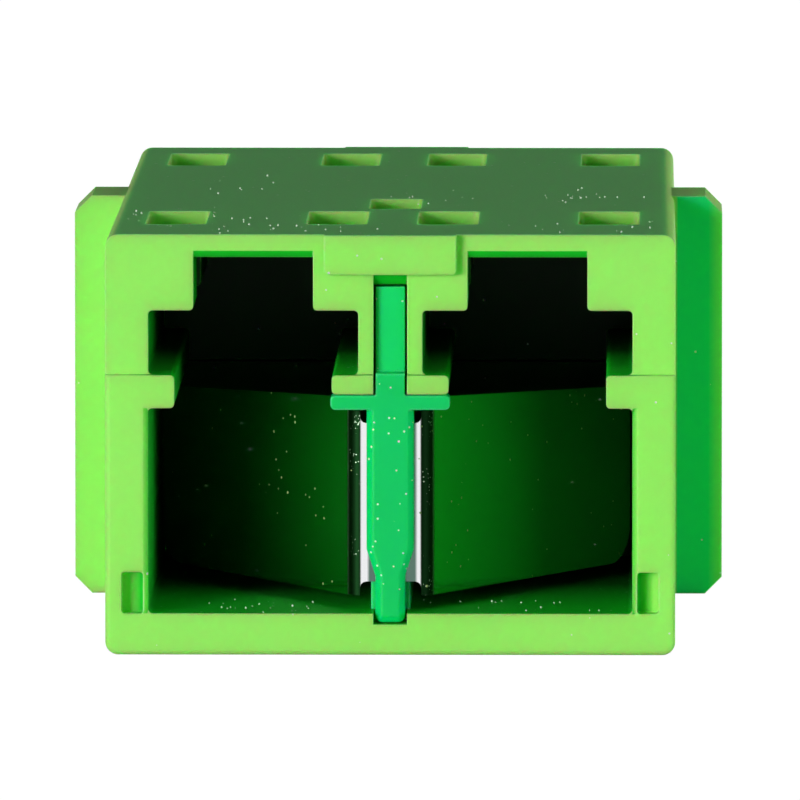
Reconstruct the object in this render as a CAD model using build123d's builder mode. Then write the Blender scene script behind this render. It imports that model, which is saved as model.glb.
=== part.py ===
from build123d import *
import os
from math import cos, radians, sin

# Duplex adapter for small form factor fibre connectors, with an inner shutter on its front side.
# Millimetres. +X is to the right seen from the front, +Y runs from the front face to the rear,
# +Z is up. The origin lies on the underside, in the middle of the length and the width.

# Outer body
length = 28.0
width = 13.0
height = 9.6
corner_radius = 0.3
end_edge_radius = 0.12

# End faces: the lower part and a pad under the top wall stand proud of the rest
end_step = 0.3
pad_width = 3.0
pad_height = 0.9
pad_radius = 0.12

# Flange that stops in the panel cut-out
flange_width = 15.25
flange_height = 9.4
flange_bottom = 0.1
flange_thickness = 2.8
flange_depth = 13.4
flange_chamfer = 0.4

# Optical plane, where the two ferrules of a line meet, counted from the front face
optical_depth = 14.5

# Port section: plug opening, throat between the ledges, wings for the latch lugs, latch slot
port_pitch = 6.25
port_width = 4.79
port_height = 4.7
floor_thickness = 0.95
throat_width = 3.59
throat_height = 0.75
wing_height = 1.46
slot_width = 2.73
slot_ceiling_wall = 0.53
profile_radius = 0.1
slot_lead_in = 0.16
port_lead_in = 0.12

# Windows in the top wall, behind which the latch lugs catch
window_width = 1.4
window_length = 4.0
window_offset = 1.85
window_reach = 9.2
window_radius = 0.15

# Corner pockets in the front face
pocket_width = 0.5
pocket_height = 0.95
pocket_depth = 0.45
pocket_web = 0.11
pocket_radius = 0.08

# Middle wall, sleeve tubes and split sleeves
wall_thickness = 1.4
wall_lead = 0.4
plate_thickness = 1.0
plate_clearance = 0.04
tube_diameter = 2.6
tube_chamfer = 0.12
sleeve_length = 6.8
sleeve_outer = 1.62
sleeve_inner = 1.249
sleeve_slit = 0.16
sleeve_chamfer = 0.08
sleeve_end_play = 0.05
sleeve_side_play = 0.065
lip_length = 0.4
lip_diameter = 1.42
lip_draft = 2.0
lip_chamfer = 0.15

# Groove, key seat and catch window for the shutter holder
groove_width = 0.77
groove_height = 2.47
groove_end_depth = 11.1
groove_ramp_height = 0.26
groove_ramp_depth = 0.3
front_ledge_height = 0.43
catch_window_width = 1.2
catch_window_length = 3.1
notch_width = 0.77
notch_drop = 0.25
notch_depth = 1.15

# Shutter holder
holder_setback = 0.1
holder_side_play = 0.05
finger_width = 1.08
finger_thickness = 0.85
finger_bevel = 0.14
finger_neck_width = 0.68
finger_taper_top = 2.41
finger_taper_bottom = 1.8
finger_foot_play = 0.03
finger_foot_radius = 0.17
crossbar_width = 2.73
crossbar_height = 0.335
crossbar_depth = 0.8
crossbar_radius = 0.12
crossbar_play = 0.03
column_foot_height = 0.5
column_setback = 0.45
partition_thickness = 0.9
snap_arm_length = 6.4
snap_arm_height = 0.5
snap_arm_gap = 0.3
snap_hook_length = 1.9
snap_hook_height = 0.85
snap_hook_play = 0.06

# Shutter spring, one folded sheet: a flat back held by the holder, two bends and two leaves
sheet = 0.1
bend_radius = 0.26
bend_axis_x = 0.7
leaf_angle = 29.0
leaf_wall_gap = 0.06
leaf_bottom_gap = 0.33
leaf_root_height = 4.55
leaf_tip_drop = 0.45
leaf_heel_radius = 0.9
leaf_toe_radius = 0.3
back_height = 3.63
back_bottom_rise = 0.32
back_relief_radius = 0.14
leaf_gap = 0.02

# Smallest step that tells two levels apart
tolerance = 0.001

# Levels along Y
front_face = -length / 2
rear_face = length / 2
optical_y = front_face + optical_depth
wall_front = optical_y - wall_lead
wall_rear = wall_front + wall_thickness
plate_front = wall_front - plate_thickness
tube_reach = sleeve_length / 2 + sleeve_end_play + lip_length
groove_end = front_face + groove_end_depth
finger_front = front_face + holder_setback
finger_rear = finger_front + finger_thickness
back_rear = finger_rear + sheet
bend_axis_y = finger_rear + bend_radius
flange_front = front_face + flange_depth

# Levels along Z
port_top = floor_thickness + port_height
throat_top = port_top + throat_height
wing_top = throat_top + wing_height
slot_top = height - slot_ceiling_wall
pad_bottom = height - pad_height
ferrule_height = floor_thickness + port_height / 2
front_ledge_bottom = throat_top - front_ledge_height
groove_top = front_ledge_bottom + groove_height
crossbar_top = front_ledge_bottom - crossbar_play
crossbar_bottom = crossbar_top - crossbar_height
column_top = groove_top - holder_side_play
leaf_bottom = floor_thickness + leaf_bottom_gap
leaf_root_top = leaf_bottom + leaf_root_height
back_bottom = leaf_bottom + back_bottom_rise
back_top = back_bottom + back_height
finger_foot = floor_thickness - notch_drop + finger_foot_play

# Levels along X
port_x = port_pitch / 2
port_outer = port_x + port_width / 2
sleeve_bore = sleeve_outer + 2 * sleeve_side_play
leaf_lean = radians(leaf_angle)
leaf_root_x = bend_axis_x + bend_radius * cos(leaf_lean)
leaf_length = (port_outer - leaf_wall_gap - leaf_root_x) / sin(leaf_lean)


def section(y):
    """Plane across the body at y, with its own X and Y along the part's X and Z."""
    return Plane.XZ.offset(-y)


def near(value, target):
    return abs(value - target) < tolerance


def bar(bottom, top, bar_width, x=0.0):
    """Upright rectangle in a section, from one level to another."""
    with Locations((x, (bottom + top) / 2)):
        Rectangle(bar_width, top - bottom)


def port_section(x):
    """Section of one port, from its floor to the ceiling of its latch slot."""
    bar(floor_thickness, port_top, port_width, x)
    bar(port_top, throat_top, throat_width, x)
    bar(throat_top, wing_top, port_width, x)
    bar(wing_top, slot_top, slot_width, x)


def round_profile(outline):
    """Rounds the corners of a port's section, all but those at the ceiling of its latch slot."""
    fillet(outline.vertices().filter_by(lambda v: v.Y < slot_top - tolerance), profile_radius)


def end_relief(y, inwards):
    """Sets the upper end face back, all but the pad under the top wall."""
    with BuildSketch(section(y)) as relief:
        bar(throat_top, height, width)
        with BuildSketch(section(y), mode=Mode.SUBTRACT) as pad:
            bar(pad_bottom, height, pad_width)
            fillet(pad.vertices().group_by(Axis.Y)[0], pad_radius)
    extrude(relief.sketch, amount=-inwards * end_step, mode=Mode.SUBTRACT)


# Housing: one moulding with the flange, both pairs of ports and the rear sleeve tubes
with BuildPart() as housing:
    with BuildSketch(section(rear_face)):
        with Locations((0, height / 2)):
            RectangleRounded(width, height, corner_radius)
    extrude(amount=length)

    # Flange
    with BuildSketch(section(flange_front + flange_thickness)) as flange:
        bar(flange_bottom, flange_bottom + flange_height, flange_width)
        chamfer(flange.vertices(), flange_chamfer)
    extrude(amount=flange_thickness)

    # Stepped end faces
    end_relief(front_face, 1)
    end_relief(rear_face, -1)
    for end in (front_face, rear_face):
        rim = housing.faces().filter_by(lambda f: near(f.center().Y, end)).sort_by(Axis.Z)[0]
        outer = rim.outer_wire().edges()
        fillet(outer.filter_by(lambda e: e.center().Z < throat_top - tolerance), end_edge_radius)

    # Rear ports
    with BuildSketch(section(rear_face)) as rear_ports:
        for x in (-port_x, port_x):
            port_section(x)
        round_profile(rear_ports)
    extrude(amount=rear_face - wall_rear, mode=Mode.SUBTRACT)

    # Front ports, joined below the ledges where the shutter holder makes the partition
    with BuildSketch(section(plate_front)) as front_ports:
        for x in (-port_x, port_x):
            port_section(x)
        bar(floor_thickness, front_ledge_bottom, throat_width, 0)
        round_profile(front_ports)
    extrude(amount=plate_front - front_face, mode=Mode.SUBTRACT)

    # Seat of the sleeve retainer
    with BuildSketch(section(wall_front)) as retainer_seat:
        bar(floor_thickness, port_top, 2 * port_outer)
        fillet(retainer_seat.vertices(), profile_radius)
    extrude(amount=plate_thickness, mode=Mode.SUBTRACT)

    # Groove of the shutter holder, its ramp, its catch window and the notch for its finger
    with BuildSketch(section(groove_end)):
        bar(front_ledge_bottom - profile_radius, groove_top, groove_width)
    extrude(amount=groove_end - front_face, mode=Mode.SUBTRACT)
    with BuildSketch(Plane.YZ.offset(-groove_width / 2)):
        upper_face = front_face + end_step
        with BuildLine():
            Polyline(
                (upper_face, groove_top),
                (upper_face, groove_top + groove_ramp_height),
                (upper_face + groove_ramp_depth, groove_top),
                close=True,
            )
        make_face()
    extrude(amount=groove_width, mode=Mode.SUBTRACT)
    with BuildSketch(Plane.XY.offset(groove_top)):
        with Locations((0, groove_end - catch_window_length / 2)):
            RectangleRounded(catch_window_width, catch_window_length, window_radius)
    extrude(amount=height - groove_top, mode=Mode.SUBTRACT)
    with BuildSketch(Plane.XY.offset(floor_thickness - notch_drop)):
        with Locations((0, front_face + notch_depth / 2)):
            Rectangle(notch_width, notch_depth)
    extrude(amount=notch_drop, mode=Mode.SUBTRACT)

    # Latch windows, through the top wall into the wings
    with BuildSketch(Plane.XY.offset(wing_top)):
        for y in (optical_y - window_reach, optical_y + window_reach):
            for x in (-port_x, port_x):
                with Locations((x - window_offset, y), (x + window_offset, y)):
                    RectangleRounded(window_width, window_length, window_radius)
    extrude(amount=height - wing_top, mode=Mode.SUBTRACT)

    # Pockets in the lower corners of the front face
    with BuildSketch(section(front_face)) as pockets:
        for side in (-1, 1):
            with Locations((side * (port_outer + pocket_web + pocket_width / 2),
                            floor_thickness + pocket_height / 2)):
                RectangleRounded(pocket_width, pocket_height, pocket_radius)
    extrude(amount=-pocket_depth, mode=Mode.SUBTRACT)

    # Sleeve tubes on the middle wall and their stepped bores
    with BuildSketch(section(optical_y + tube_reach)):
        with Locations((-port_x, ferrule_height), (port_x, ferrule_height)):
            Circle(tube_diameter / 2)
    extrude(amount=optical_y + tube_reach - wall_rear)
    with BuildSketch(section(optical_y + tube_reach)):
        with Locations((-port_x, ferrule_height), (port_x, ferrule_height)):
            Circle(lip_diameter / 2)
    extrude(amount=lip_length, taper=lip_draft, mode=Mode.SUBTRACT)
    with BuildSketch(section(optical_y + tube_reach - lip_length)):
        with Locations((-port_x, ferrule_height), (port_x, ferrule_height)):
            Circle(sleeve_bore / 2)
    extrude(amount=optical_y + tube_reach - lip_length - wall_front, mode=Mode.SUBTRACT)
    tube_ends = housing.edges().filter_by(GeomType.CIRCLE).filter_by(
        lambda e: near(e.center().Y, optical_y + tube_reach))
    chamfer(tube_ends.filter_by(lambda e: near(e.radius, tube_diameter / 2)), tube_chamfer)
    chamfer(tube_ends.filter_by(lambda e: near(e.radius, lip_diameter / 2)), lip_chamfer)

    # Lead-ins at the mouths: slot ceilings, and outer walls of the plug openings
    for end, inwards in ((front_face, 1), (rear_face, -1)):
        upper_face = end + inwards * end_step
        for x in (-port_x, port_x):
            with BuildSketch(Plane.YZ.offset(x - slot_width / 2)):
                with BuildLine():
                    Polyline(
                        (upper_face, slot_top),
                        (upper_face, slot_top + slot_lead_in),
                        (upper_face + inwards * slot_lead_in, slot_top),
                        close=True,
                    )
                make_face()
            extrude(amount=slot_width, mode=Mode.SUBTRACT)
        with BuildSketch(Plane.XY.offset(floor_thickness)) as cheeks:
            for side in (-1, 1):
                with BuildLine():
                    Polyline(
                        (side * port_outer, end),
                        (side * (port_outer + port_lead_in), end),
                        (side * port_outer, end + inwards * port_lead_in),
                        close=True,
                    )
                make_face()
        extrude(amount=port_height, mode=Mode.SUBTRACT)
housing.part.label = "housing"


# Sleeve retainer: plate welded in front of the middle wall, with the front sleeve tubes
with BuildPart() as sleeve_retainer:
    with BuildSketch(section(wall_front)) as plate:
        bar(floor_thickness + plate_clearance, port_top - plate_clearance,
            2 * (port_outer - plate_clearance))
        fillet(plate.vertices(), profile_radius)
    extrude(amount=plate_thickness)
    tube_front = optical_y - tube_reach
    with BuildSketch(section(plate_front)):
        with Locations((-port_x, ferrule_height), (port_x, ferrule_height)):
            Circle(tube_diameter / 2)
    extrude(amount=plate_front - tube_front)
    with BuildSketch(Plane(origin=(0, tube_front, 0), x_dir=(-1, 0, 0), z_dir=(0, 1, 0))):
        with Locations((-port_x, ferrule_height), (port_x, ferrule_height)):
            Circle(lip_diameter / 2)
    extrude(amount=lip_length, taper=lip_draft, mode=Mode.SUBTRACT)
    with BuildSketch(section(wall_front)):
        with Locations((-port_x, ferrule_height), (port_x, ferrule_height)):
            Circle(sleeve_bore / 2)
    extrude(amount=wall_front - tube_front - lip_length, mode=Mode.SUBTRACT)
    tube_ends = sleeve_retainer.edges().filter_by(GeomType.CIRCLE).filter_by(
        lambda e: near(e.center().Y, tube_front))
    chamfer(tube_ends.filter_by(lambda e: near(e.radius, tube_diameter / 2)), tube_chamfer)
    chamfer(tube_ends.filter_by(lambda e: near(e.radius, lip_diameter / 2)), lip_chamfer)
sleeve_retainer.part.label = "sleeve_retainer"


# Shutter holder: finger, crossbar, column in the groove, partition and snap arm
with BuildPart() as shutter_holder:
    # Finger in front of the spring, with bevelled sides
    with BuildSketch(section(finger_rear)) as finger:
        with BuildLine():
            Polyline(
                (-finger_width / 2, crossbar_bottom),
                (-finger_width / 2, finger_taper_top),
                (-finger_neck_width / 2, finger_taper_bottom),
                (-finger_neck_width / 2, finger_foot),
                (finger_neck_width / 2, finger_foot),
                (finger_neck_width / 2, finger_taper_bottom),
                (finger_width / 2, finger_taper_top),
                (finger_width / 2, crossbar_bottom),
                close=True,
            )
        make_face()
        fillet(finger.vertices().group_by(Axis.Y)[0], finger_foot_radius)
    extrude(amount=finger_thickness)
    front_edges = shutter_holder.faces().sort_by(Axis.Y)[0].edges()
    chamfer(front_edges.filter_by(lambda e: e.center().Z < crossbar_bottom - tolerance), finger_bevel)

    # Crossbar under the ledges
    with BuildSketch(section(finger_front + crossbar_depth)) as crossbar:
        bar(crossbar_bottom, crossbar_top, crossbar_width)
        fillet(crossbar.vertices(), crossbar_radius)
    extrude(amount=crossbar_depth)

    # Column and spine, between the two cheeks of the housing
    column_width = groove_width - 2 * holder_side_play
    with BuildSketch(section(groove_end - holder_side_play)):
        bar(crossbar_bottom, column_top, column_width)
    extrude(amount=groove_end - holder_side_play - finger_front - column_setback)
    with BuildSketch(section(finger_front + column_setback)):
        bar(crossbar_bottom, crossbar_top + column_foot_height, column_width)
    extrude(amount=column_setback)

    # Partition behind the spring
    with BuildSketch(section(plate_front)):
        bar(floor_thickness, crossbar_top, partition_thickness)
    extrude(amount=plate_front - back_rear)

    # Snap arm: a slot frees its rear end, and a hook stands up into the catch window
    arm_end = groove_end - holder_side_play
    with BuildSketch(Plane.YZ.offset(-column_width / 2)):
        with Locations((arm_end - snap_arm_length / 2,
                        column_top - snap_arm_height - snap_arm_gap / 2)):
            Rectangle(snap_arm_length, snap_arm_gap)
    extrude(amount=column_width, mode=Mode.SUBTRACT)
    hook_face = groove_end - catch_window_length + snap_hook_play
    with BuildSketch(Plane.YZ.offset(-column_width / 2)):
        with BuildLine():
            Polyline(
                (hook_face, column_top - snap_arm_height),
                (hook_face, column_top + snap_hook_height),
                (hook_face + snap_hook_length / 3, column_top + snap_hook_height),
                (hook_face + snap_hook_length, column_top),
                (hook_face + snap_hook_length, column_top - snap_arm_height),
                close=True,
            )
        make_face()
    extrude(amount=column_width)
shutter_holder.part.label = "shutter_holder"


# Shutter spring: flat back between finger and partition, and the first part of both bends
bend_end = 90 - leaf_angle
with BuildPart() as shutter_spring:
    for side in (-1, 1):
        with BuildSketch(Plane.XY.offset(leaf_bottom)):
            with BuildLine():
                centre = (side * bend_axis_x, bend_axis_y)
                start = -90
                turn = side * bend_end
                outer_arc = CenterArc(centre, bend_radius, start, turn)
                inner_arc = CenterArc(centre, bend_radius - sheet, start, turn)
                Line(outer_arc @ 1, inner_arc @ 1)
                Line(inner_arc @ 0, (0, bend_axis_y - bend_radius + sheet))
                Line((0, bend_axis_y - bend_radius + sheet), (0, bend_axis_y - bend_radius))
                Line((0, bend_axis_y - bend_radius), outer_arc @ 0)
            make_face()
        extrude(amount=leaf_root_height)
    # The back is shorter than the bends, with rounded reliefs beside them
    with BuildSketch(section(back_rear)) as reliefs:
        bar(leaf_bottom, back_bottom, 2 * bend_axis_x)
        bar(back_top, leaf_root_top, 2 * bend_axis_x)
        inner_corners = reliefs.vertices().group_by(Axis.Y)
        fillet(inner_corners[1] + inner_corners[2], back_relief_radius)
    extrude(amount=sheet, mode=Mode.SUBTRACT)
shutter_spring.part.label = "shutter_spring"


def shutter_leaf(side):
    """One leaf, cut flat in its own plane and set at the end of its bend."""
    root = Vector(side * leaf_root_x, bend_axis_y - bend_radius * sin(leaf_lean))
    along = Vector(side * sin(leaf_lean), cos(leaf_lean))
    outwards = Vector(side * cos(leaf_lean), -sin(leaf_lean))
    leaf_plane = Plane(origin=root, x_dir=along, z_dir=outwards * side * -1)
    top_sign = leaf_plane.y_dir.Z
    with BuildPart() as leaf:
        with BuildSketch(leaf_plane) as blank:
            with BuildLine():
                Polyline(
                    (leaf_gap, top_sign * leaf_bottom),
                    (leaf_length, top_sign * leaf_bottom),
                    (leaf_length, top_sign * (leaf_root_top - leaf_tip_drop)),
                    (leaf_gap, top_sign * leaf_root_top),
                    close=True,
                )
            make_face()
            tip = blank.vertices().sort_by(Axis.X)[-2:]
            toe, shoulder = tip.sort_by(lambda v: abs(v.Y))
            fillet(toe, leaf_heel_radius)
            fillet(blank.vertices().sort_by(lambda v: v.distance_to(shoulder))[0], leaf_toe_radius)
        extrude(amount=sheet * side)
    return leaf.part


# Shutter leaves, one for each front port
shutter_leaf_left = shutter_leaf(-1)
shutter_leaf_left.label = "shutter_leaf_left"
shutter_leaf_right = shutter_leaf(1)
shutter_leaf_right.label = "shutter_leaf_right"


def split_sleeve(x):
    """Slit ceramic tube that lines the two ferrules up."""
    with BuildPart() as sleeve:
        with BuildSketch(section(optical_y + sleeve_length / 2)):
            with Locations((x, ferrule_height)):
                Circle(sleeve_outer / 2)
                Circle(sleeve_inner / 2, mode=Mode.SUBTRACT)
                with Locations((0, sleeve_outer / 2)):
                    Rectangle(sleeve_slit, sleeve_outer / 2, mode=Mode.SUBTRACT)
        extrude(amount=sleeve_length)
        rims = sleeve.edges().filter_by(GeomType.CIRCLE)
        chamfer(rims.filter_by(lambda e: near(e.radius, sleeve_inner / 2)), sleeve_chamfer)
    return sleeve.part


# Split sleeves, one for each line
split_sleeve_left = split_sleeve(-port_x)
split_sleeve_left.label = "split_sleeve_left"
split_sleeve_right = split_sleeve(port_x)
split_sleeve_right.label = "split_sleeve_right"


os.makedirs("parts", exist_ok=True)
export_step(housing.part, "parts/housing.step")
export_step(sleeve_retainer.part, "parts/sleeve_retainer.step")
export_step(shutter_holder.part, "parts/shutter_holder.step")
export_step(shutter_spring.part, "parts/shutter_spring.step")
export_step(shutter_leaf_left, "parts/shutter_leaf_left.step")
export_step(shutter_leaf_right, "parts/shutter_leaf_right.step")
export_step(split_sleeve_left, "parts/split_sleeve_left.step")
export_step(split_sleeve_right, "parts/split_sleeve_right.step")
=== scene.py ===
# %% [markdown]
# A duplex fibre adapter, dressed for its portrait
#
# The real object is a bright green moulding, 28 mm long, that joins two pairs of fibre connectors.
# The CAD model already holds every wall, ledge and window at its real size. What it lacks is what
# the eye reads as plastic and steel: soft edges, satin skin, dust, and one springy folded sheet.
# The imported model is loaded first and never moved, and the mouldings and the lint made here
# ride on its bodies.

# %% Load the imported model
import math
import random
import bmesh
import bpy
from mathutils import Euler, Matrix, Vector


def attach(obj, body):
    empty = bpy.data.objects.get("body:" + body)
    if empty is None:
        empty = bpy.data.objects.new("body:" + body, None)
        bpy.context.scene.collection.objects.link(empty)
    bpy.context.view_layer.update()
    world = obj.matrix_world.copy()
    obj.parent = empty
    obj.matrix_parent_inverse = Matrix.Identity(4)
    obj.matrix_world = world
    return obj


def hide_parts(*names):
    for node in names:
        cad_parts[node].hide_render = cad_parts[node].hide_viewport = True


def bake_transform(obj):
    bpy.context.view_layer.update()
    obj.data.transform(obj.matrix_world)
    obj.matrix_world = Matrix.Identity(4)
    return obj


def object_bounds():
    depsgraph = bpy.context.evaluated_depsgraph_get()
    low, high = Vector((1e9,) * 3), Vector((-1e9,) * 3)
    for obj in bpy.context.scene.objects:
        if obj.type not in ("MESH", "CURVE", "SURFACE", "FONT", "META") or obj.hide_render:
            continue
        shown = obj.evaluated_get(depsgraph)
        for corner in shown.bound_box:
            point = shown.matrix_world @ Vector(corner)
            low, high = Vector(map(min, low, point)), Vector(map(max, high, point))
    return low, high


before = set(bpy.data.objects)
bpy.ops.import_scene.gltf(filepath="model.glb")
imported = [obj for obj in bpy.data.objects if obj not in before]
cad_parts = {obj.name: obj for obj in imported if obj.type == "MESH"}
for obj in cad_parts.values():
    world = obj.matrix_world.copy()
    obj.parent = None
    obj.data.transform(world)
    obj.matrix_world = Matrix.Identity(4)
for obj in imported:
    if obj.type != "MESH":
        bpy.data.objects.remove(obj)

MM = 0.001
cad_low, cad_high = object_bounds()
bpy.context.scene.view_settings.view_transform = "Standard"
print("CAD box in mm:", [round((high - low) / MM, 2) for low, high in zip(cad_low, cad_high)])

# %% [markdown]
# Colours
#
# Colours are given as sRGB hex values, the way a paint chart gives them. Blender's shaders
# work in linear light, so one function turns the hex value to linear before it reaches a socket.


# %% Hex colours to linear light
def linear(hex_colour):
    """Linear RGBA of an sRGB hex colour such as 8CE85A."""
    channels = [int(hex_colour[i:i + 2], 16) / 255 for i in (0, 2, 4)]
    return [c / 12.92 if c <= 0.04045 else ((c + 0.055) / 1.055) ** 2.4 for c in channels] + [1.0]


print("Middle grey in linear light:", round(linear("808080")[0], 3))

# %% [markdown]
# One small function for nodes
#
# A material is a chain of nodes. Each call below adds one node, sets its properties and its
# unlinked sockets, and links the sockets that are fed by another node's output.


# %% Add a node with its settings and links
def add_node(tree, kind, settings=None, **sockets):
    """Adds a node of that kind. A socket is given a value, or another node's output to link."""
    node = tree.nodes.new(kind)
    for name, value in (settings or {}).items():
        setattr(node, name, value)
    for name, value in sockets.items():
        key = int(name[1:]) if name[1:].isdigit() else name.replace("_", " ")
        socket = node.inputs[key]
        if isinstance(value, bpy.types.NodeSocket):
            tree.links.new(value, socket)
        else:
            socket.default_value = value
    return node


def new_material(name):
    """An empty node material with its output and shader."""
    material = bpy.data.materials.new(name)
    material.use_nodes = True
    tree = material.node_tree
    tree.nodes.clear()
    output = add_node(tree, "ShaderNodeOutputMaterial")
    shader = add_node(tree, "ShaderNodeBsdfPrincipled")
    tree.links.new(shader.outputs["BSDF"], output.inputs["Surface"])
    return material, tree, shader


def place_in_mm(tree):
    """The place on the object in millimetres, which every pattern is drawn in."""
    place = add_node(tree, "ShaderNodeTexCoord").outputs["Object"]
    in_mm = add_node(tree, "ShaderNodeVectorMath", {"operation": "SCALE"}, _0=place, Scale=1 / MM)
    return in_mm.outputs["Vector"]


# %% [markdown]
# Regions by place
#
# Some colours change with the place: a painted shade makes the mouth of a port brighter than its
# depth, and a bend of the steel is drawn duller than its flats. Such a region is drawn by ramps.
# Each one rises from 0 to 1 between two levels of a coordinate, and their product is 1 where all
# are full.


# %% Draw a region by ramps
def within(tree, *limits):
    """1 inside a region and 0 outside. A limit is a level, where it starts and where it is full."""
    inside = None
    for level, (start, full) in limits:
        ramp = add_node(tree, "ShaderNodeMapRange", Value=level, From_Min=start, From_Max=full)
        if inside is not None:
            ramp = add_node(tree, "ShaderNodeMath", {"operation": "MULTIPLY"},
                            _0=inside, _1=ramp.outputs["Result"])
        inside = ramp.outputs[0]
    return inside


# %% [markdown]
# Dust
#
# Dust settles on any object that lies about, as round pale specks of a few hundredths of a
# millimetre that gather in patches. A cell pattern gives each speck its place and size, a slow
# noise says where the patches are, and the specks are raised a little, so that they catch light.

# %% Dust
DUST_RADIUS = 0.034            # mm, of the largest speck
DUST_SMALLEST = 0.4            # size of the smallest speck, as a share of the largest
DUST_COLOUR = "E6F6DE"
CLUSTER_SIZE = 2.2             # mm, of the patches in which dust gathers
CLUSTER_EDGE = (0.62, 0.66)    # levels of the noise where a patch starts and where it is full
CLUSTER_SPREAD = 0.3           # how far those levels fall at the full share of dust


def dust(tree, at, spacing, share):
    """Specks of dust in patches: 1 on a speck and 0 beside it, and the domes that they make."""
    cells = add_node(tree, "ShaderNodeTexVoronoi", Vector=at, Scale=1 / spacing)
    own_size = add_node(tree, "ShaderNodeMapRange", Value=cells.outputs["Color"],
                        To_Min=DUST_SMALLEST * DUST_RADIUS / spacing, To_Max=DUST_RADIUS / spacing)
    patches = add_node(tree, "ShaderNodeTexNoise", Vector=at, Scale=1 / CLUSTER_SIZE, Detail=1.0)
    edge = [level - CLUSTER_SPREAD * share for level in CLUSTER_EDGE]
    lies = within(tree, (patches.outputs["Fac"], edge))
    reach = add_node(tree, "ShaderNodeMath", {"operation": "MULTIPLY"},
                     _0=own_size.outputs["Result"], _1=lies)
    dome = add_node(tree, "ShaderNodeMath", {"operation": "SUBTRACT", "use_clamp": True},
                    _0=reach.outputs["Value"], _1=cells.outputs["Distance"])
    height = add_node(tree, "ShaderNodeMath", {"operation": "MULTIPLY"},
                      _0=dome.outputs["Value"], _1=spacing / DUST_RADIUS)
    speck = add_node(tree, "ShaderNodeMath", {"operation": "GREATER_THAN"},
                     _0=dome.outputs["Value"], _1=0.0)
    return speck.outputs["Value"], height.outputs["Value"]


print("Specks of dust measure", round(2 * DUST_SMALLEST * DUST_RADIUS, 3), "to",
      round(2 * DUST_RADIUS, 3), "mm")

# %% [markdown]
# Painted shade on the moulding, by place
#
# The housing is injection moulded from a filled polyester, PBT, that glows where light wanders
# through it. In the picture its top face is a purer green than its front, perhaps because the mould
# was polished there. Its top face is painted a purer, darker green than its front, a painted shade.
# The front of the right ear gets a painted shade too, the deep green of a face that only light from
# within the plastic reaches, and inside the ports the painted shade grows deeper with every
# millimetre. These tones could come from light alone, but a renderer's scattered light is too pale
# for them. These tones are laid on by place, as paint would be, and they stay when the lamps move.

# %% Painted shade on the moulding, by place
# Where the painted shade lies: on the top face, on the front of the right ear and inside the ports
TOP_SHADE = (9.57, 9.595)                      # mm above the floor
EAR_ACROSS = ((6.53, 6.58), (7.75, 7.3))      # mm to the right, at the ear's root and at its edge
EAR_ALONG = ((-0.5, -0.55), (-0.7, -0.65))    # mm along, just round the front face of the ear
EAR_SHADE_COLOUR = "06EE7C"
PORT_MOUTH = 14.0        # mm, distance from the middle at which the inside of a port begins
PORT_RIM = 0.15          # mm, over which the mouth takes the colour of the inside
PORT_STEP = 0.3          # mm, how much further in the end face is stepped
PORT_DEPTH = 7.0         # mm, depth at which hardly any light is left in a port
PORT_WALL = (6.0, 5.7)         # mm from the middle plane, at the outer walls
PORT_BOTTOM = (0.4, 0.8)       # mm above the floor
PORT_CEILING = (9.28, 9.24)    # mm above the floor
LOOKS_FORWARDS = (0.8, 0.95)   # how far along the object the normal of an end face points


def paint_shade_by_place(tree, at, normal, tone, top_shade_colour, mouth_shade_colour, deep_shade_colour):
    """The tone of the plastic, with painted shade on the top, the right ear and in the ports."""
    axes = add_node(tree, "ShaderNodeSeparateXYZ", Vector=at)
    x, y, z = (axes.outputs[axis] for axis in "XYZ")
    top = within(tree, (z, TOP_SHADE))
    ear = within(tree, *((x, limit) for limit in EAR_ACROSS), *((y, limit) for limit in EAR_ALONG))

    # The end face is stepped, so a face that looks forwards counts as standing a little further out
    across, along = (add_node(tree, "ShaderNodeMath", {"operation": "ABSOLUTE"}, _0=level)
                     for level in (x, y))
    facing = add_node(tree, "ShaderNodeSeparateXYZ", Vector=normal)
    facing = add_node(tree, "ShaderNodeMath", {"operation": "ABSOLUTE"}, _0=facing.outputs["Y"])
    facing = add_node(tree, "ShaderNodeMapRange", Value=facing.outputs["Value"],
                      From_Min=LOOKS_FORWARDS[0], From_Max=LOOKS_FORWARDS[1], To_Max=PORT_STEP)
    along = add_node(tree, "ShaderNodeMath", {"operation": "ADD"},
                     _0=facing.outputs["Result"], _1=along.outputs["Value"]).outputs["Value"]
    depth = within(tree, (along, (PORT_MOUTH, PORT_MOUTH - PORT_DEPTH)))
    inside = within(tree, (along, (PORT_MOUTH, PORT_MOUTH - PORT_RIM)),
                    (across.outputs["Value"], PORT_WALL), (z, PORT_BOTTOM), (z, PORT_CEILING))
    shaded = add_node(tree, "ShaderNodeMix", {"data_type": "RGBA"}, _0=depth,
                      _6=linear(mouth_shade_colour), _7=linear(deep_shade_colour))

    # Painted shade on the top, on the front of the right ear and, deepening, inside the ports
    for share, colour in ((top, linear(top_shade_colour)), (ear, linear(EAR_SHADE_COLOUR)),
                          (inside, shaded.outputs[2])):
        tone = add_node(tree, "ShaderNodeMix", {"data_type": "RGBA"}, _0=share,
                        _6=tone, _7=colour).outputs[2]
    return tone
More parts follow.
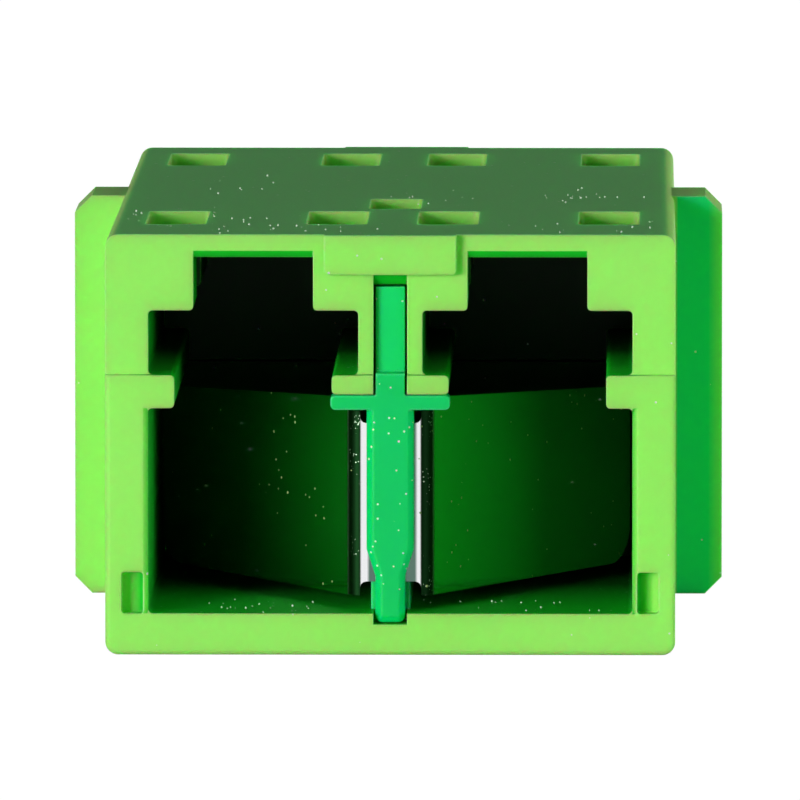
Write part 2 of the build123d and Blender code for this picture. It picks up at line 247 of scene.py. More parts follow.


# %% [markdown]
# Moulded plastic
#
# The skin of a moulding copies the steel of the mould: satin, with the fine grain that spark
# erosion leaves. The melt brings slow changes of shade, light scatters a fraction of a millimetre
# below the skin, and every edge is rounded and gets a painted highlight, a lighter line of colour.
# PBT has an IOR near 1.57, and a satin roughness lies between 0.35 and 0.5. The holder is an acetal
# with the same skin in another green, so one function makes both.

# %% Moulded plastic
SHADE_SIZE = 4.0         # mm, slow changes of shade along the flow of the melt
EDGE_SOFTNESS = 0.06     # mm, radius that the mould leaves on every edge
EDGE_AGREES = (0.97, 0.75)     # how far soft and true normal agree where an edge starts and is full
GRAIN_SIZE = 0.06        # mm, spark erosion grain of the mould, drawn coarse enough to show
GRAIN_HEIGHT = 0.004     # mm
GRAIN_STRENGTH = 0.12
GRAIN_GLOSS = 0.06       # how far the grain changes the roughness, up and down
PLASTIC_IOR = 1.57
PLASTIC_SHINE = 0.12     # specular level of a dusty satin skin
SCATTER_SHARES = (0.1, 1.0, 0.25)    # how far red, green and blue light wander in green plastic


def moulded_plastic(name, colours, painted_shades, edge_highlight_colour, edge_highlight, roughness, scatter_depth,
                    dust_spacing, dust_share):
    """Satin moulded plastic with melt shading, painted shade and edge highlights, mould grain and
    dust.
    """
    material, tree, shader = new_material(name)
    at = place_in_mm(tree)
    flow = add_node(tree, "ShaderNodeTexNoise", Vector=at, Scale=1 / SHADE_SIZE, Detail=2.0)
    tone = add_node(tree, "ShaderNodeMix", {"data_type": "RGBA"}, _0=flow.outputs["Fac"],
                    _6=linear(colours[0]), _7=linear(colours[1]))
    true = add_node(tree, "ShaderNodeNewGeometry")
    tone = paint_shade_by_place(tree, at, true.outputs["True Normal"], tone.outputs[2], *painted_shades)

    # Edges: where the softened normal leaves the true one, a lighter colour is painted on as a
    # highlight
    soft = add_node(tree, "ShaderNodeBevel", {"samples": 4}, Radius=EDGE_SOFTNESS * MM)
    agree = add_node(tree, "ShaderNodeVectorMath", {"operation": "DOT_PRODUCT"},
                     _0=soft.outputs["Normal"], _1=true.outputs["Normal"])
    edge = add_node(tree, "ShaderNodeMapRange", Value=agree.outputs["Value"],
                    From_Min=EDGE_AGREES[0], From_Max=EDGE_AGREES[1], To_Max=edge_highlight)
    tone = add_node(tree, "ShaderNodeMix", {"data_type": "RGBA"}, _0=edge.outputs["Result"],
                    _6=tone, _7=linear(edge_highlight_colour))

    speck, speck_height = dust(tree, at, dust_spacing, dust_share)
    skin = add_node(tree, "ShaderNodeMix", {"data_type": "RGBA"}, _0=speck,
                    _6=tone.outputs[2], _7=linear(DUST_COLOUR))

    grain = add_node(tree, "ShaderNodeTexNoise", Vector=at, Scale=1 / GRAIN_SIZE, Detail=1.0)
    rough = add_node(tree, "ShaderNodeMapRange", Value=grain.outputs["Fac"],
                     To_Min=roughness - GRAIN_GLOSS, To_Max=roughness + GRAIN_GLOSS)
    bump = add_node(tree, "ShaderNodeBump", Height=grain.outputs["Fac"], Strength=GRAIN_STRENGTH,
                    Distance=GRAIN_HEIGHT * MM, Normal=soft.outputs["Normal"])
    bump = add_node(tree, "ShaderNodeBump", Height=speck_height, Strength=1.0,
                    Distance=DUST_RADIUS * MM, Normal=bump.outputs["Normal"])

    tree.links.new(skin.outputs[2], shader.inputs["Base Color"])
    tree.links.new(rough.outputs["Result"], shader.inputs["Roughness"])
    tree.links.new(bump.outputs["Normal"], shader.inputs["Normal"])
    shader.inputs["IOR"].default_value = PLASTIC_IOR
    shader.inputs["Specular IOR Level"].default_value = PLASTIC_SHINE
    shader.inputs["Subsurface Weight"].default_value = 1.0
    shader.inputs["Subsurface Radius"].default_value = SCATTER_SHARES
    shader.inputs["Subsurface Scale"].default_value = scatter_depth * MM
    print(name, "nodes:", len(tree.nodes))
    return material


# The two colours are the lighter and the darker shade of the melt. The painted shades are the
# colours of the top, the mouth of a port and its depth, and the edge colour is a painted highlight.
# Scatter depth and dust spacing are in mm
housing_pbt = moulded_plastic(
    "moulded_pbt_light_green", colours=("A2F06E", "98EA64"), painted_shades=("62DE64", "14D028", "025E0A"),
    edge_highlight_colour="B0FF8C", edge_highlight=0.7, roughness=0.42, scatter_depth=0.6,
    dust_spacing=0.42, dust_share=0.5)
holder_pom = moulded_plastic(
    "moulded_acetal_emerald", colours=("02D470", "02CC68"), painted_shades=("02CC68", "02DC74", "027A3A"),
    edge_highlight_colour="A8FFD4", edge_highlight=0.85, roughness=0.38, scatter_depth=0.3,
    dust_spacing=0.2, dust_share=0.6)

# %% [markdown]
# Rolled spring steel
#
# The shutter is cut from thin stainless strip. Rolling leaves it almost a mirror, with faint lines
# along the strip. A metal needs no IOR of its own here: its colour is its reflection. Where the
# strip is bent, a dull dark stripe is drawn, with bright grains on both sides of the middle.
# Next to the finger of the holder the flat back is painted grey, a painted reflection of the
# finger. Next to the finger of the holder the flat back looks grey, probably because it mirrors the
# finger.
# The stripe and the grey zone are both laid on by place.

# %% Rolled spring steel
ROLLING_LINE = 0.05      # mm, spacing of the rolling lines, drawn coarse enough to show
LINE_LENGTH = 12         # length of a rolling line, as a multiple of the spacing
LINE_HEIGHT = 0.002      # mm
LINE_STRENGTH = 0.05
LINE_ROUGHNESS = (0.06, 0.14)
STRIP_COLOUR = "ECEDEF"
BEND_STRIPE = ((0.67, 0.70), (1.02, 0.95))    # mm from the middle plane
BEND_COLOUR, GRAIN_COLOUR = "0E2A12", "9AB098"
BEND_ROUGHNESS = 0.5
BEND_GRAIN_SPACING = 0.075     # mm, spacing of the bright grains, drawn coarse enough to show
BEND_GRAIN_PATCH = 0.625     # mm, of the patches in which they gather
PATCH_EDGE = (0.46, 0.66)      # levels of the noise where a patch starts and where it is full
GRAIN_REACH = 0.24       # radius of the largest grain, as a share of the spacing
# Painted reflection of the finger: the flat back next to it is painted grey
FINGER_MIDDLE = 0.035    # mm, of the zone that mirrors the finger
FINGER_ZONE = (0.52, 0.58)     # mm from its middle, where the clear strip starts and is full
FINGER_REFLECTION_COLOUR = "5C786C"
STRIP_DUST_COLOUR = "B8D080"
STRIP_DUST_SPACING, STRIP_DUST_SHARE = 0.3, 0.5    # the spacing is in mm


def strip_colour(tree, at, bent):
    """Colour of the strip: clear flats, a painted reflection by the finger, dull and grainy bends.
    """
    grains = add_node(tree, "ShaderNodeTexVoronoi", Vector=at, Scale=1 / BEND_GRAIN_SPACING)
    patches = add_node(tree, "ShaderNodeTexNoise", Vector=at, Scale=1 / BEND_GRAIN_PATCH, Detail=1.0)
    size = add_node(tree, "ShaderNodeMapRange", Value=patches.outputs["Fac"],
                    From_Min=PATCH_EDGE[0], From_Max=PATCH_EDGE[1], To_Max=GRAIN_REACH)
    bright = add_node(tree, "ShaderNodeMath", {"operation": "LESS_THAN"},
                      _0=grains.outputs["Distance"], _1=size.outputs["Result"])
    dull = add_node(tree, "ShaderNodeMix", {"data_type": "RGBA"}, _0=bright.outputs["Value"],
                    _6=linear(BEND_COLOUR), _7=linear(GRAIN_COLOUR))
    axes = add_node(tree, "ShaderNodeSeparateXYZ", Vector=at)
    offset = add_node(tree, "ShaderNodeMath", {"operation": "SUBTRACT"},
                      _0=axes.outputs["X"], _1=FINGER_MIDDLE)
    offset = add_node(tree, "ShaderNodeMath", {"operation": "ABSOLUTE"}, _0=offset.outputs["Value"])
    clear = within(tree, (offset.outputs["Value"], FINGER_ZONE))
    colour = add_node(tree, "ShaderNodeMix", {"data_type": "RGBA"}, _0=clear,
                      _6=linear(FINGER_REFLECTION_COLOUR), _7=linear(STRIP_COLOUR))
    colour = add_node(tree, "ShaderNodeMix", {"data_type": "RGBA"}, _0=bent,
                      _6=colour.outputs[2], _7=dull.outputs[2])
    return colour.outputs[2]


def rolled_steel():
    """Bright stainless strip with rolling lines along it, dull bends, and dust on it."""
    material, tree, shader = new_material("rolled_stainless_strip")
    at = place_in_mm(tree)
    along, across = 1 / ROLLING_LINE / LINE_LENGTH, 1 / ROLLING_LINE
    stretch = add_node(tree, "ShaderNodeMapping", _0=at, Scale=(along, along, across))
    lines = add_node(tree, "ShaderNodeTexNoise", Vector=stretch.outputs["Vector"], Scale=1.0,
                     Detail=2.0)
    rough = add_node(tree, "ShaderNodeMapRange", Value=lines.outputs["Fac"],
                     To_Min=LINE_ROUGHNESS[0], To_Max=LINE_ROUGHNESS[1])
    bump = add_node(tree, "ShaderNodeBump", Height=lines.outputs["Fac"], Strength=LINE_STRENGTH,
                    Distance=LINE_HEIGHT * MM)

    axes = add_node(tree, "ShaderNodeSeparateXYZ", Vector=at)
    side = add_node(tree, "ShaderNodeMath", {"operation": "ABSOLUTE"}, _0=axes.outputs["X"])
    bent = within(tree, *((side.outputs["Value"], limit) for limit in BEND_STRIPE))
    rough = add_node(tree, "ShaderNodeMix", {"data_type": "FLOAT"}, _0=bent,
                     _2=rough.outputs["Result"], _3=BEND_ROUGHNESS)

    # A speck of dust is no metal and has no gloss
    speck, speck_height = dust(tree, at, STRIP_DUST_SPACING, STRIP_DUST_SHARE)
    colour = add_node(tree, "ShaderNodeMix", {"data_type": "RGBA"}, _0=speck,
                      _6=strip_colour(tree, at, bent), _7=linear(STRIP_DUST_COLOUR))
    metal = add_node(tree, "ShaderNodeMath", {"operation": "SUBTRACT"}, _0=1.0, _1=speck)
    rough = add_node(tree, "ShaderNodeMath", {"operation": "MAXIMUM"},
                     _0=rough.outputs[0], _1=speck)
    bump = add_node(tree, "ShaderNodeBump", Height=speck_height, Strength=1.0,
                    Distance=DUST_RADIUS * MM, Normal=bump.outputs["Normal"])
    tree.links.new(colour.outputs[2], shader.inputs["Base Color"])
    tree.links.new(metal.outputs["Value"], shader.inputs["Metallic"])
    tree.links.new(rough.outputs["Value"], shader.inputs["Roughness"])
    tree.links.new(bump.outputs["Normal"], shader.inputs["Normal"])
    print(material.name, "nodes:", len(tree.nodes))
    return material


strip_steel = rolled_steel()

# %% [markdown]
# Ground zirconia
#
# The split sleeves are white zirconia, ground inside and out. Ceramic has a high IOR, about 2.1,
# and grinding leaves fine rings round the tube, which run across its length.

# %% Ground zirconia
RING_SPACING = 0.05      # mm, of the grinding rings, drawn coarse enough to show
RING_WANDER = 2.0        # mm, over which a ring changes as it runs round the tube
RING_ROUGHNESS = (0.16, 0.3)
CERAMIC_IOR = 2.1
CERAMIC_SCATTER = 0.1    # share of the light that scatters below the skin
CERAMIC_DEPTH = 0.2      # mm


def ground_zirconia():
    """White technical ceramic with fine grinding rings."""
    material, tree, shader = new_material("ground_zirconia")
    at = place_in_mm(tree)
    stretch = add_node(tree, "ShaderNodeMapping", _0=at,
                       Scale=(1 / RING_WANDER, 1 / RING_SPACING, 1 / RING_WANDER))
    rings = add_node(tree, "ShaderNodeTexNoise", Vector=stretch.outputs["Vector"], Scale=1.0)
    rough = add_node(tree, "ShaderNodeMapRange", Value=rings.outputs["Fac"],
                     To_Min=RING_ROUGHNESS[0], To_Max=RING_ROUGHNESS[1])
    tone = add_node(tree, "ShaderNodeMix", {"data_type": "RGBA"}, _0=rings.outputs["Fac"],
                    _6=linear("F1EFE8"), _7=linear("E6E3DA"))
    tree.links.new(tone.outputs[2], shader.inputs["Base Color"])
    tree.links.new(rough.outputs["Result"], shader.inputs["Roughness"])
    shader.inputs["IOR"].default_value = CERAMIC_IOR
    shader.inputs["Subsurface Weight"].default_value = CERAMIC_SCATTER
    shader.inputs["Subsurface Scale"].default_value = CERAMIC_DEPTH * MM
    print(material.name, "nodes:", len(tree.nodes))
    return material


zirconia = ground_zirconia()

# %% [markdown]
# Soft edges on the mouldings
#
# No moulded edge is truly sharp: the mould rounds it by a few hundredths of a millimetre, and that
# thin line of light is what makes plastic look moulded. A copy of the CAD piece is welded into one
# mesh, its flat faces are joined, and a bevel rounds every edge that turns by more than 35 degrees.

# %% Copy a CAD piece and round its edges
MOULD_EDGE = 0.03        # mm, radius of the rounded edges
WELD_REACH = 0.002       # mm, within which the corners of loose triangles are welded
FLAT_TURN = 0.5          # degrees, below which two faces are one flat face
SMOOTH_TURN = 30         # degrees, below which two faces are shaded as one
SHARP_TURN = 35          # degrees, above which an edge is rounded


def only(piece):
    """Selects this object alone and makes it active."""
    bpy.ops.object.select_all(action="DESELECT")
    piece.select_set(True)
    bpy.context.view_layer.objects.active = piece


def moulded_copy(node, name):
    """Copy of a CAD node as one welded mesh with rounded edges, which stands for the node."""
    piece = bpy.data.objects.new(name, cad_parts[node].data.copy())
    bpy.context.scene.collection.objects.link(piece)
    only(piece)
    bpy.ops.object.mode_set(mode="EDIT")
    bpy.ops.mesh.select_all(action="SELECT")
    bpy.ops.mesh.remove_doubles(threshold=WELD_REACH * MM)
    bpy.ops.mesh.dissolve_limited(angle_limit=math.radians(FLAT_TURN))
    bpy.ops.object.mode_set(mode="OBJECT")
    bpy.ops.object.shade_smooth_by_angle(angle=math.radians(SMOOTH_TURN))
    rounding = piece.modifiers.new("edges", "BEVEL")
    rounding.width = MOULD_EDGE * MM
    rounding.segments = 2
    rounding.limit_method = "ANGLE"
    rounding.angle_limit = math.radians(SHARP_TURN)
    rounding.use_clamp_overlap = False
    rounding.harden_normals = True
    rounding.miter_outer = "MITER_ARC"
    bpy.ops.object.modifier_apply(modifier="edges")
    flats = piece.modifiers.new("flats", "WEIGHTED_NORMAL")
    flats.keep_sharp = True
    bpy.ops.object.modifier_apply(modifier="flats")
    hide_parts(node)
    print(name, "faces:", len(piece.data.polygons))
    return piece


def finish_piece(piece, material, body):
    """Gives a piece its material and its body."""
    piece.data.materials.clear()
    piece.data.materials.append(material)
    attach(piece, body)


holder = moulded_copy("shutter_holder", "holder_moulding")
finish_piece(holder, holder_pom, "adapter")
retainer = moulded_copy("sleeve_retainer", "retainer_moulding")
finish_piece(retainer, housing_pbt, "adapter")

# %% [markdown]
# The pieces that stay as the CAD model has them
#
# The housing has hundreds of small edges that meet in tight corners, where a bevel easily folds
# over itself, so they are left to the material, which softens them. The two sleeves are tubes that
# need no more than their ceramic. All three keep their mesh and get a material.

# %% Dress the housing and the sleeves
for node, material in (
    ("housing", housing_pbt),
    ("split_sleeve_left", zirconia),
    ("split_sleeve_right", zirconia),
):
    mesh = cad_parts[node].data
    mesh.materials.clear()
    mesh.materials.append(material)
    print(node, "is dressed in", material.name)

# %% [markdown]
# The shutter sheet
#
# The real shutter is one strip of spring steel: a flat back behind the finger, two tight bends and
# two leaves. Each half is cut as a flat blank, as a press tool cuts it. Its corners are rounded,
# then it is folded column by column round the bend, and only then does it get its thickness. Cut
# first and folded later, the edges stay true.

# %% Sizes of the sheet
SHEET = 0.1              # mm, thickness of the strip
BACK_Y = -13.0           # mm, middle of the strip's thickness in the flat back
BEND_START = 0.7         # mm, where the bend starts, left and right of the middle
BEND_MIDDLE = 0.21       # mm, radius of the bend at the middle of the strip
BEND_COLUMNS = 10
LEAF_ANGLE = 29.0        # degrees between a shut leaf and the fibre line
LEAF_LENGTH = 9.349      # mm, from the end of the bend to the tip
LEAF_LOW, LEAF_HIGH = 1.28, 5.83     # mm above the floor
BACK_LOW, BACK_HIGH = 1.6, 5.23      # mm above the floor
TIP_DROP = 0.45          # mm, how much lower the top of the tip is than the root
TIP_HIGH_CORNER, TIP_HIGH_CHORDS = 0.3, 5    # the radius is in mm
TIP_LOW_CORNER, TIP_LOW_CHORDS = 0.9, 8      # the radius is in mm
RELIEF_RADIUS = 0.14     # mm, of the round corners between the back and the bends
RELIEF_CHORDS = 3
HAIR = 0.001             # mm, that keeps the points on a line on the right side of it
CUT_REACH = 0.0001       # mm, within which a cut moves to a point that is there already

BEND_TURN = math.radians(90 - LEAF_ANGLE)
BEND_END = BEND_START + BEND_MIDDLE * BEND_TURN
BLANK_END = BEND_END + LEAF_LENGTH
print("Half of the blank is", round(BLANK_END, 3), "mm long, of which the bend takes",
      round(BEND_END - BEND_START, 3), "mm")

# %% [markdown]
# Cutting along a plane
#
# Bisect cuts the selected faces along a plane, as a knife would, and needs no window. Its own
# threshold of 0.1 mm is as large as the sheet is thick: it would skip every cut that passes closer
# than that to a point, so it is lowered. Three short cuts, the chords of a circle, round a corner.


# %% Pick points and cut along a plane
def pick(mesh, chosen):
    """Selects in edit mode the points for which chosen(point) holds."""
    bpy.ops.mesh.select_all(action="DESELECT")
    edit = bmesh.from_edit_mesh(mesh)
    for vert in edit.verts:
        vert.select = chosen(vert)
    edit.select_flush(True)
    bmesh.update_edit_mesh(mesh)


def cut(mesh, chosen, place, normal):
    """Cuts the faces between the chosen points along a plane."""
    pick(mesh, chosen)
    bpy.ops.mesh.bisect(plane_co=Vector(place) * MM, plane_no=normal, threshold=CUT_REACH * MM)


def relief_cuts(level, outwards):
    """Places and directions of the short cuts that round a corner between back and bend."""
    centre = Vector((BEND_START - RELIEF_RADIUS, 0, level + outwards * RELIEF_RADIUS))
    reach = RELIEF_RADIUS * math.cos(math.radians(45 / RELIEF_CHORDS))
    turns = [math.radians(90 * (i + 0.5) / RELIEF_CHORDS) for i in range(RELIEF_CHORDS)]
    ways = [Vector((math.sin(turn), 0, -outwards * math.cos(turn))) for turn in turns]
    return [(centre + way * reach, way) for way in ways]


print("A relief corner turns in", RELIEF_CHORDS, "chords:",
      [tuple(round(c, 2) for c in place) for place, _ in relief_cuts(BACK_HIGH, 1)])

# %% [markdown]
# The flat blank
#
# A plane is stretched to the blank's length and height. The back of the real strip is lower than
# its bends, above and below, with small round corners between them, so that the steel doesn't tear
# when it is folded. The top edge of a leaf falls towards the tip, and both corners of it are round.


# %% Cut the blank
def flat_blank(name):
    """A rectangle from the middle of the back to the tip, left in edit mode."""
    bpy.ops.object.select_all(action="DESELECT")
    bpy.ops.mesh.primitive_plane_add(size=MM, rotation=(math.pi / 2, 0, 0))
    piece = bpy.context.object
    piece.name = name
    bpy.ops.object.transform_apply(location=True, rotation=True, scale=True)
    bpy.ops.object.mode_set(mode="EDIT")
    bpy.ops.transform.resize(value=(BLANK_END, 1, LEAF_HIGH - LEAF_LOW))
    middle = ((BLANK_END / 2) * MM, BACK_Y * MM, (LEAF_LOW + LEAF_HIGH) / 2 * MM)
    bpy.ops.transform.translate(value=middle)
    return piece


def lower_back(mesh):
    """Cuts away what stands above and below the back, and rounds the corners at the bend."""
    cut(mesh, lambda v: True, (BEND_START, 0, 0), (1, 0, 0))
    for level in (BACK_LOW, BACK_HIGH):
        cut(mesh, lambda v: v.co.x < (BEND_START + HAIR) * MM, (0, 0, level), (0, 0, 1))
    reliefs = {}
    for level, outwards in ((BACK_LOW, -1), (BACK_HIGH, 1)):
        reliefs[outwards] = relief_cuts(level, outwards)
        for place, way in reliefs[outwards]:
            cut(mesh, lambda v: v.co.x < (BEND_START + HAIR) * MM
                and (v.co.z / MM - level) * outwards > -HAIR, place, way)
    edit = bmesh.from_edit_mesh(mesh)
    for face in edit.faces:
        at = face.calc_center_median() / MM
        cuts = reliefs[1 if at.z > (BACK_LOW + BACK_HIGH) / 2 else -1]
        cleared = all((at - place).dot(Vector((1, 0, 1)) * way) < 0 for place, way in cuts)
        face.select = at.x < BEND_START and not BACK_LOW < at.z < BACK_HIGH and cleared
    bmesh.update_edit_mesh(mesh)
    bpy.ops.mesh.delete(type="FACE")


def round_tip(mesh):
    """Lowers the top of the leaf's tip and rounds its two corners."""
    middle = (LEAF_LOW + LEAF_HIGH) / 2

    def top_corner(vert):
        return vert.co.x > (BLANK_END - 10 * HAIR) * MM and vert.co.z > middle * MM

    def low_corner(vert):
        return vert.co.x > (BLANK_END - 10 * HAIR) * MM and vert.co.z < middle * MM

    pick(mesh, top_corner)
    bpy.ops.transform.translate(value=(0, 0, -TIP_DROP * MM))
    pick(mesh, top_corner)
    bpy.ops.mesh.bevel(offset=TIP_HIGH_CORNER * MM, segments=TIP_HIGH_CHORDS, affect="VERTICES")
    pick(mesh, low_corner)
    bpy.ops.mesh.bevel(offset=TIP_LOW_CORNER * MM, segments=TIP_LOW_CHORDS, affect="VERTICES")


# %% [markdown]
# The fold, the other side and the thickness
#
# Ten columns are cut across the bend. From the far column to the near one, all that lies past it is
# turned by a tenth of the bend, so the bend comes out round and the leaf stays flat. The left half
# is mirrored, its normals are made to agree, and a Solidify modifier gives the steel its 0.1 mm.


# %% Fold a half and give it its thickness
def fold_bend(mesh):
    """Turns the leaf out of the plane of the back, column by column."""
    step = (BEND_END - BEND_START) / BEND_COLUMNS
    columns = [BEND_START + step * (i + 0.5) for i in range(BEND_COLUMNS)]
    for column in (*columns, BEND_END):
        cut(mesh, lambda v: True, (column, 0, 0), (1, 0, 0))
    edit = bmesh.from_edit_mesh(mesh)
    edit.verts.ensure_lookup_table()
    unrolled = [vert.co.x / MM for vert in edit.verts]
    for column in reversed(columns):
        pick(mesh, lambda v: unrolled[v.index] > column + HAIR / 2)
        bpy.ops.transform.rotate(value=-BEND_TURN / BEND_COLUMNS, orient_axis="Z",
                                 center_override=(column * MM, BACK_Y * MM, 0))


def shutter_half(name, side):
    """Half of the sheet, from the middle of the back to one leaf's tip."""
    piece = flat_blank(name)
    lower_back(piece.data)
    round_tip(piece.data)
    fold_bend(piece.data)
    bpy.ops.object.mode_set(mode="OBJECT")
    if side < 0:
        only(piece)
        bpy.ops.transform.mirror(constraint_axis=(True, False, False), orient_type="GLOBAL",
                                 center_override=(0, 0, 0))
        bpy.ops.object.transform_apply(location=True, rotation=True, scale=True)
    bpy.ops.object.mode_set(mode="EDIT")
    bpy.ops.mesh.select_all(action="SELECT")
    bpy.ops.mesh.remove_doubles(threshold=HAIR / 2 * MM)
    bpy.ops.mesh.normals_make_consistent(inside=False)
    bpy.ops.object.mode_set(mode="OBJECT")
    wall = piece.modifiers.new("thickness", "SOLIDIFY")
    wall.thickness = SHEET * MM
    wall.offset = 0
    bpy.ops.object.modifier_apply(modifier="thickness")
    bpy.ops.object.shade_smooth_by_angle(angle=math.radians(SMOOTH_TURN))
    for axis in range(3):
        levels = [vert.co[axis] / MM for vert in piece.data.vertices]
        print(name, "XYZ"[axis], "from", round(min(levels), 3), "to", round(max(levels), 3), "mm")
    return piece


# %% [markdown]
# The two halves of the sheet
#
# When a plug pushes a leaf back, the real strip flexes, most of all at its bend. Both halves are
# made here and take the steel, and they stand in place of the CAD leaves and spring, which are
# hidden.

# %% Make both halves
for side, name, leaf in ((-1, "shutter_sheet_left", "left"), (1, "shutter_sheet_right", "right")):
    sheet = shutter_half(name, side)
    sheet.data.materials.append(strip_steel)
    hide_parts("shutter_leaf_" + leaf, "shutter_spring")
    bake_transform(sheet)

# %% [markdown]
# Lint on the flat faces
#
# Lint lies on the top wall and on the floors of the ports. It is seen almost edge on there, where a
# painted speck would vanish, so each bit gets a shape of its own: a ball of twenty faces, squeezed
# and turned at random. A ray from above finds the face that it lies on. The draws start from a
# fixed seed, so every run scatters the same lint, and all bits are joined into one piece.

# %% Scatter lint
LINT_SEED = 11
LINT_RADIUS = (0.010, 0.032)   # mm, of the smallest and the largest bit
LINT_SQUEEZE = (0.5, 0.9)      # width and height of a bit, as shares of its length
LINT_SUNK = 0.25               # share of the radius that a bit sinks into the face
LINT_DROP = 1.0                # mm, from which a ray falls
LINT_MISS = 0.005              # mm, by which the face that a ray hits may miss the height
TOP_FACE, PORT_FLOOR = 9.6, 0.95    # mm above the floor
LINT_PATCHES = (               # mm: height of the face, x, y, spread in x and y. Then how many
    (TOP_FACE, -5.3, -8.0, 0.45, 1.3, 24), (TOP_FACE, -3.6, -10.5, 0.9, 1.6, 18),
    (TOP_FACE, -3.6, 0.5, 0.8, 2.0, 8), (TOP_FACE, 1.2, -2.2, 0.8, 1.2, 10),
    (TOP_FACE, 4.3, -2.4, 0.6, 1.0, 18), (TOP_FACE, 3.4, -11.8, 0.9, 1.0, 10),
    (TOP_FACE, 5.6, -10.3, 0.3, 0.8, 8), (TOP_FACE, -1.8, -12.2, 0.8, 0.8, 12),
    (PORT_FLOOR, -3.0, -12.4, 1.2, 0.8, 18), (PORT_FLOOR, 2.8, -12.2, 1.2, 0.9, 18),
)


def scatter_lint(name):
    """Bits of lint on the housing, joined into one mesh."""
    draw = random.Random(LINT_SEED)
    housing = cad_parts["housing"]
    mean_squeeze = sum(LINT_SQUEEZE) / 2
    bits = []
    for height, x, y, spread_x, spread_y, count in LINT_PATCHES:
        for _ in range(count):
            place = Vector((draw.gauss(x, spread_x), draw.gauss(y, spread_y), height + LINT_DROP))
            radius = draw.uniform(*LINT_RADIUS)
            turn = [draw.uniform(0, math.pi) for _ in range(3)]
            squeeze = (1.0, draw.uniform(*LINT_SQUEEZE), draw.uniform(*LINT_SQUEEZE))
            hit, found, _, _ = housing.ray_cast(place * MM, (0, 0, -1))
            if not hit or abs(found.z / MM - height) > LINT_MISS:
                continue
            rise = Vector((0, 0, radius * (mean_squeeze - LINT_SUNK) * MM))
            bpy.ops.object.select_all(action="DESELECT")
            bpy.ops.mesh.primitive_ico_sphere_add(subdivisions=1, radius=radius * MM,
                                                  rotation=turn, scale=squeeze,
                                                  location=found + rise)
            bits.append(bpy.context.object)
    for bit in bits:
        bit.select_set(True)
    bpy.context.view_layer.objects.active = bits[0]
    bpy.ops.object.join()
    bpy.ops.object.transform_apply(location=True, rotation=True, scale=True)
    bits[0].name = name
    print(name, "bits:", len(bits), "faces:", len(bits[0].data.polygons))
    return bits[0]


# %% [markdown]
# Cotton lint
#
# Lint is cotton fluff, dull and almost white, and the green under it shines through where it is
# thin. Its fibres are far too fine to show, so a noise only changes the shade from bit to bit.

# %% Cotton lint
FLUFF_CHANGE = 0.05      # mm, over which the shade changes
lint_fluff, tree, shader = new_material("cotton_lint")
fibres = add_node(tree, "ShaderNodeTexNoise", Vector=place_in_mm(tree), Scale=1 / FLUFF_CHANGE)
tone = add_node(tree, "ShaderNodeMix", {"data_type": "RGBA"}, _0=fibres.outputs["Fac"],
                _6=linear("B4D0B4"), _7=linear("F0F8EC"))
tree.links.new(tone.outputs[2], shader.inputs["Base Color"])
shader.inputs["Roughness"].default_value = 0.9
finish_piece(scatter_lint("lint"), lint_fluff, "adapter")

# %% [markdown]
# The table
#
# The portrait stands on a table of white paper. In the camera and in reflections the paper shines
# by itself, so that it is white whatever the lamps do. A small share is left to the real paper,
# which is grey here and holds the shadow of the object.

# %% Floor
FLOOR_HALF = 2.5         # m
PAPER_GREY = "A4A4A4"
WHITE_SHARE = 0.92       # share of shining white in what the camera sees of the paper
WHITE_STRENGTH = 1.09    # makes up for the share that the grey paper takes
bpy.ops.object.select_all(action="DESELECT")
bpy.ops.mesh.primitive_plane_add(size=2 * FLOOR_HALF, location=(0, 0, 0))
floor = bpy.context.object
floor.name = "floor"

floor_paper, tree, shader = new_material("white_paper")
shader.inputs["Base Color"].default_value = linear(PAPER_GREY)
shader.inputs["Roughness"].default_value = 0.9
path = add_node(tree, "ShaderNodeLightPath")
seen = add_node(tree, "ShaderNodeMath", {"operation": "MAXIMUM"},
                _0=path.outputs["Is Camera Ray"], _1=path.outputs["Is Glossy Ray"])
seen = add_node(tree, "ShaderNodeMath", {"operation": "MAXIMUM"},
                _0=seen.outputs["Value"], _1=path.outputs["Is Transmission Ray"])
share = add_node(tree, "ShaderNodeMath", {"operation": "MULTIPLY"},
                 _0=seen.outputs["Value"], _1=WHITE_SHARE)
white = add_node(tree, "ShaderNodeEmission", Color=linear("FFFFFF"), Strength=WHITE_STRENGTH)
mixed = add_node(tree, "ShaderNodeMixShader", _0=share.outputs["Value"],
                 _1=shader.outputs["BSDF"], _2=white.outputs["Emission"])
output = next(node for node in tree.nodes if node.type == "OUTPUT_MATERIAL")
tree.links.new(mixed.outputs["Shader"], output.inputs["Surface"])
floor.data.materials.append(floor_paper)
print("floor:", 2 * FLOOR_HALF, "m wide")

# %% [markdown]
# The white surroundings
#
# For the camera the world is plain white. The light it casts is kept low, so that the lamps shape
# the object, and satin skin and steel mirror it a little stronger than it lights them.

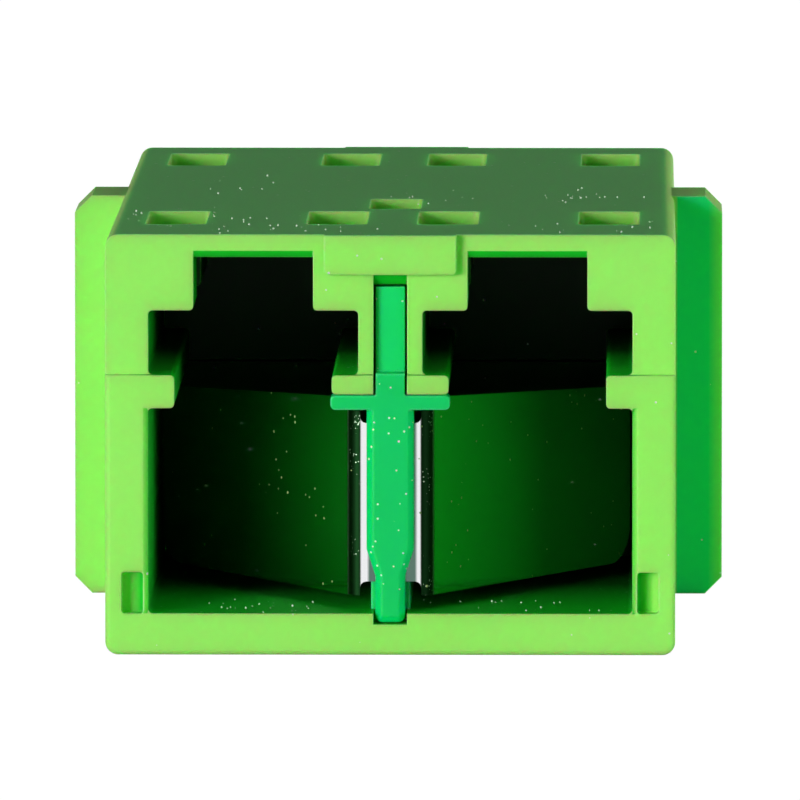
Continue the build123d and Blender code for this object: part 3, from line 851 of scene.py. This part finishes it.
# %% World
WORLD_LIGHT = 0.015      # strength with which the white surroundings light the object
WORLD_MIRRORED = 0.16    # strength with which satin skin and steel mirror them
world = bpy.data.worlds.new("white_studio")
bpy.context.scene.world = world
world.use_nodes = True
tree = world.node_tree
tree.nodes.clear()
path = add_node(tree, "ShaderNodeLightPath")
mirrored = add_node(tree, "ShaderNodeMath", {"operation": "MAXIMUM"},
                    _0=path.outputs["Is Glossy Ray"], _1=path.outputs["Is Transmission Ray"])
mirrored = add_node(tree, "ShaderNodeMath", {"operation": "MULTIPLY"},
                    _0=mirrored.outputs["Value"], _1=WORLD_MIRRORED)
seen = add_node(tree, "ShaderNodeMath", {"operation": "MAXIMUM"},
                _0=path.outputs["Is Camera Ray"], _1=mirrored.outputs["Value"])
strength = add_node(tree, "ShaderNodeMath", {"operation": "MAXIMUM"},
                    _0=seen.outputs["Value"], _1=WORLD_LIGHT)
sky = add_node(tree, "ShaderNodeBackground", Color=linear("FFFFFF"),
               Strength=strength.outputs["Value"])
add_node(tree, "ShaderNodeOutputWorld", Surface=sky.outputs["Background"])
print("world nodes:", len(tree.nodes))

# %% [markdown]
# The lamps
#
# The key lamp stands in front, to the left and low, which leaves the right ear and the top in half
# shade, and a weak one fills the right. Three more lift the sides and the rear. They stand so flat
# that satin plastic would mirror them as a white sheen, so glossy rays don't see those three.

# %% Lamps
LAMPS = (                # name, place in m, side of the square in m, power in W, mirrored or not
    ("key_lamp", (-0.25, -0.43, 0.048), 0.16, 2.75, True),
    ("fill_lamp", (0.32, -0.38, 0.03), 0.16, 0.45, True),
    ("side_lamp", (0.50, -0.05, 0.025), 0.20, 1.4, False),
    ("left_lamp", (-0.50, -0.02, 0.025), 0.20, 0.2, False),
    ("back_lamp", (0.12, 0.46, 0.04), 0.10, 1.8, False),
)
centre = (cad_low + cad_high) / 2
for name, place, size, power, mirrored in LAMPS:
    light = bpy.data.lights.new(name, "AREA")
    light.size = size
    light.energy = power
    lamp = bpy.data.objects.new(name, light)
    lamp.location = place
    lamp.rotation_euler = (centre - Vector(place)).to_track_quat("-Z", "Y").to_euler()
    lamp.visible_glossy = mirrored
    bpy.context.scene.collection.objects.link(lamp)
    print(name, "stands", round((Vector(place) - centre).length, 2), "m away")

# %% [markdown]
# The camera
#
# The portrait was taken from far away with a long lens, a little to the right and from 5 degrees
# above. That is why the sides hardly narrow towards the back. The place and the lens come from
# measuring the front face, the rear edge and the flange in the picture.

# %% Camera
CAMERA_PLACE = (5.65, -396.2, 39.26)   # mm
CAMERA_DOWN = 4.996                    # degrees below the horizon
CAMERA_LEFT = 0.813                    # degrees to the left of straight ahead
CAMERA_LENS = 758.2                    # mm, on a 36 mm sensor
camera = bpy.data.objects.new("camera", bpy.data.cameras.new("camera"))
camera.location = Vector(CAMERA_PLACE) * MM
camera.rotation_euler = Euler((math.radians(90 - CAMERA_DOWN), 0, math.radians(CAMERA_LEFT)))
camera.data.sensor_width = 36
camera.data.lens = CAMERA_LENS
camera.data.clip_start = 0.01
bpy.context.scene.collection.objects.link(camera)
bpy.context.scene.camera = camera
print("camera at", CAMERA_PLACE, "mm with a lens of", CAMERA_LENS, "mm")
